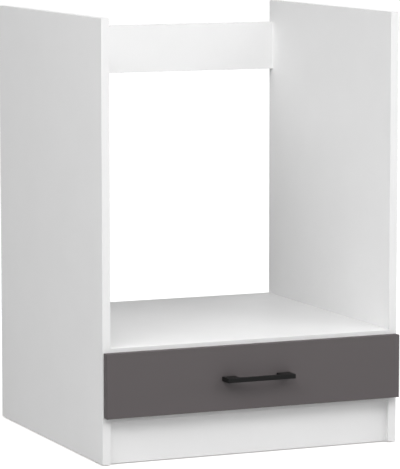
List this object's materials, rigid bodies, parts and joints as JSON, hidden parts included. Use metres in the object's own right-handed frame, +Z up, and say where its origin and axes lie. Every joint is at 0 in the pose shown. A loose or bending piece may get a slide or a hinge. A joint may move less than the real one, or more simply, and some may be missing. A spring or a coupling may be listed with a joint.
{
  "type": "oven base cabinet",
  "caption": "Open-backed oven base cabinet: side panels, a deck for a built-in oven, a rear rail, a full-width bottom drawer with a bar handle and a recessed plinth.",
  "frame": {"origin": "on the floor, at the middle of the overall width and of the overall depth", "axes": "+Z up, -Y towards the drawer front and its handle, +X to the right as seen from the front"},
  "size_m": [0.6, 0.596, 0.82],
  "materials": {
    "white_board": "satin white melamine on chipboard",
    "white_band": "satin white plastic edge band",
    "graphite_board": "matt graphite laminate on board",
    "graphite_band": "matt graphite plastic edge band",
    "hardboard": "thin hardboard, white on its inner face and brown on the other",
    "black_metal": "matt black powder coat",
    "zinc": "dull zinc",
    "galvanised_steel": "smooth zinc-plated sheet",
    "plated_screw": "zinc-plated screw steel",
    "ball_steel": "polished steel",
    "beech": "bare beech",
    "black_plastic": "matt black plastic",
    "white_plastic": "milky white plastic",
    "soft_pad": "soft translucent pad"
  },
  "bodies": {
    "carcass": {"side_panel_left": "white_board", "side_panel_right": "white_board", "side_front_band_left": "white_band", "side_front_band_right": "white_band", "side_top_band_left": "white_band", "side_top_band_right": "white_band", "oven_deck": "white_board", "deck_front_band": "white_band", "bottom_panel": "white_board", "bottom_front_band": "white_band", "rear_rail": "white_board", "rail_edge_bands": "white_band", "plinth_board": "white_board", "back_strip": "hardboard", "back_strip_nails": "plated_screw", "floor_glides": "white_plastic", "carcass_cam_locks": "zinc", "carcass_cam_bolts": "zinc", "carcass_dowels": "beech", "slide_cabinet_member_left": "galvanised_steel", "slide_cabinet_member_right": "galvanised_steel", "cabinet_slide_screws": "plated_screw", "slide_end_bumpers": "black_plastic"},
    "drawer": {"drawer_front": "graphite_board", "drawer_front_bands": "graphite_band", "drawer_side_left": "white_board", "drawer_side_right": "white_board", "drawer_back": "white_board", "drawer_bottom": "hardboard", "handle": "black_metal", "handle_screws": "plated_screw", "drawer_cam_locks": "zinc", "drawer_cam_bolts": "zinc", "drawer_dowels": "beech", "drawer_back_screws": "plated_screw", "drawer_bottom_screws": "plated_screw", "slide_drawer_member_left": "galvanised_steel", "slide_drawer_member_right": "galvanised_steel", "drawer_slide_screws": "plated_screw", "front_bumpers": "soft_pad", "lever_rivets": "plated_screw"},
    "slide_middle_left": {"slide_middle_member_left": "galvanised_steel"},
    "outer_cage_left": {"outer_ball_cage_left": "galvanised_steel", "outer_balls_left": "ball_steel"},
    "inner_cage_left": {"inner_ball_cage_left": "galvanised_steel", "inner_balls_left": "ball_steel"},
    "lever_left": {"release_lever_left": "black_plastic"},
    "slide_middle_right": {"slide_middle_member_right": "galvanised_steel"},
    "outer_cage_right": {"outer_ball_cage_right": "galvanised_steel", "outer_balls_right": "ball_steel"},
    "inner_cage_right": {"inner_ball_cage_right": "galvanised_steel", "inner_balls_right": "ball_steel"},
    "lever_right": {"release_lever_right": "black_plastic"}
  },
  "joints": [
    {"name": "drawer_slide", "type": "slide", "parent": "carcass", "child": "drawer", "axis": [0, -1, 0], "range_m": [0, 0.48]},
    {"name": "slide_middle_left_slide", "type": "slide", "parent": "carcass", "child": "slide_middle_left", "axis": [0, -1, 0], "range_m": [0, 0.24]},
    {"name": "outer_cage_left_slide", "type": "slide", "parent": "carcass", "child": "outer_cage_left", "axis": [0, -1, 0], "range_m": [0, 0.12]},
    {"name": "inner_cage_left_slide", "type": "slide", "parent": "carcass", "child": "inner_cage_left", "axis": [0, -1, 0], "range_m": [0, 0.36]},
    {"name": "lever_left_hinge", "type": "hinge", "parent": "drawer", "child": "lever_left", "pos_m": [-0.274, 0.027, 0.149], "axis": [1, 0, 0], "range_deg": [-6, 0]},
    {"name": "slide_middle_right_slide", "type": "slide", "parent": "carcass", "child": "slide_middle_right", "axis": [0, -1, 0], "range_m": [0, 0.24]},
    {"name": "outer_cage_right_slide", "type": "slide", "parent": "carcass", "child": "outer_cage_right", "axis": [0, -1, 0], "range_m": [0, 0.12]},
    {"name": "inner_cage_right_slide", "type": "slide", "parent": "carcass", "child": "inner_cage_right", "axis": [0, -1, 0], "range_m": [0, 0.36]},
    {"name": "lever_right_hinge", "type": "hinge", "parent": "drawer", "child": "lever_right", "pos_m": [0.274, 0.027, 0.149], "axis": [1, 0, 0], "range_deg": [-6, 0]}
  ],
  "couplings": [
    {"joint": "slide_middle_left_slide", "follows": "drawer_slide", "ratio": 0.5},
    {"joint": "outer_cage_left_slide", "follows": "drawer_slide", "ratio": 0.25},
    {"joint": "inner_cage_left_slide", "follows": "drawer_slide", "ratio": 0.75},
    {"joint": "slide_middle_right_slide", "follows": "drawer_slide", "ratio": 0.5},
    {"joint": "outer_cage_right_slide", "follows": "drawer_slide", "ratio": 0.25},
    {"joint": "inner_cage_right_slide", "follows": "drawer_slide", "ratio": 0.75}
  ]
}
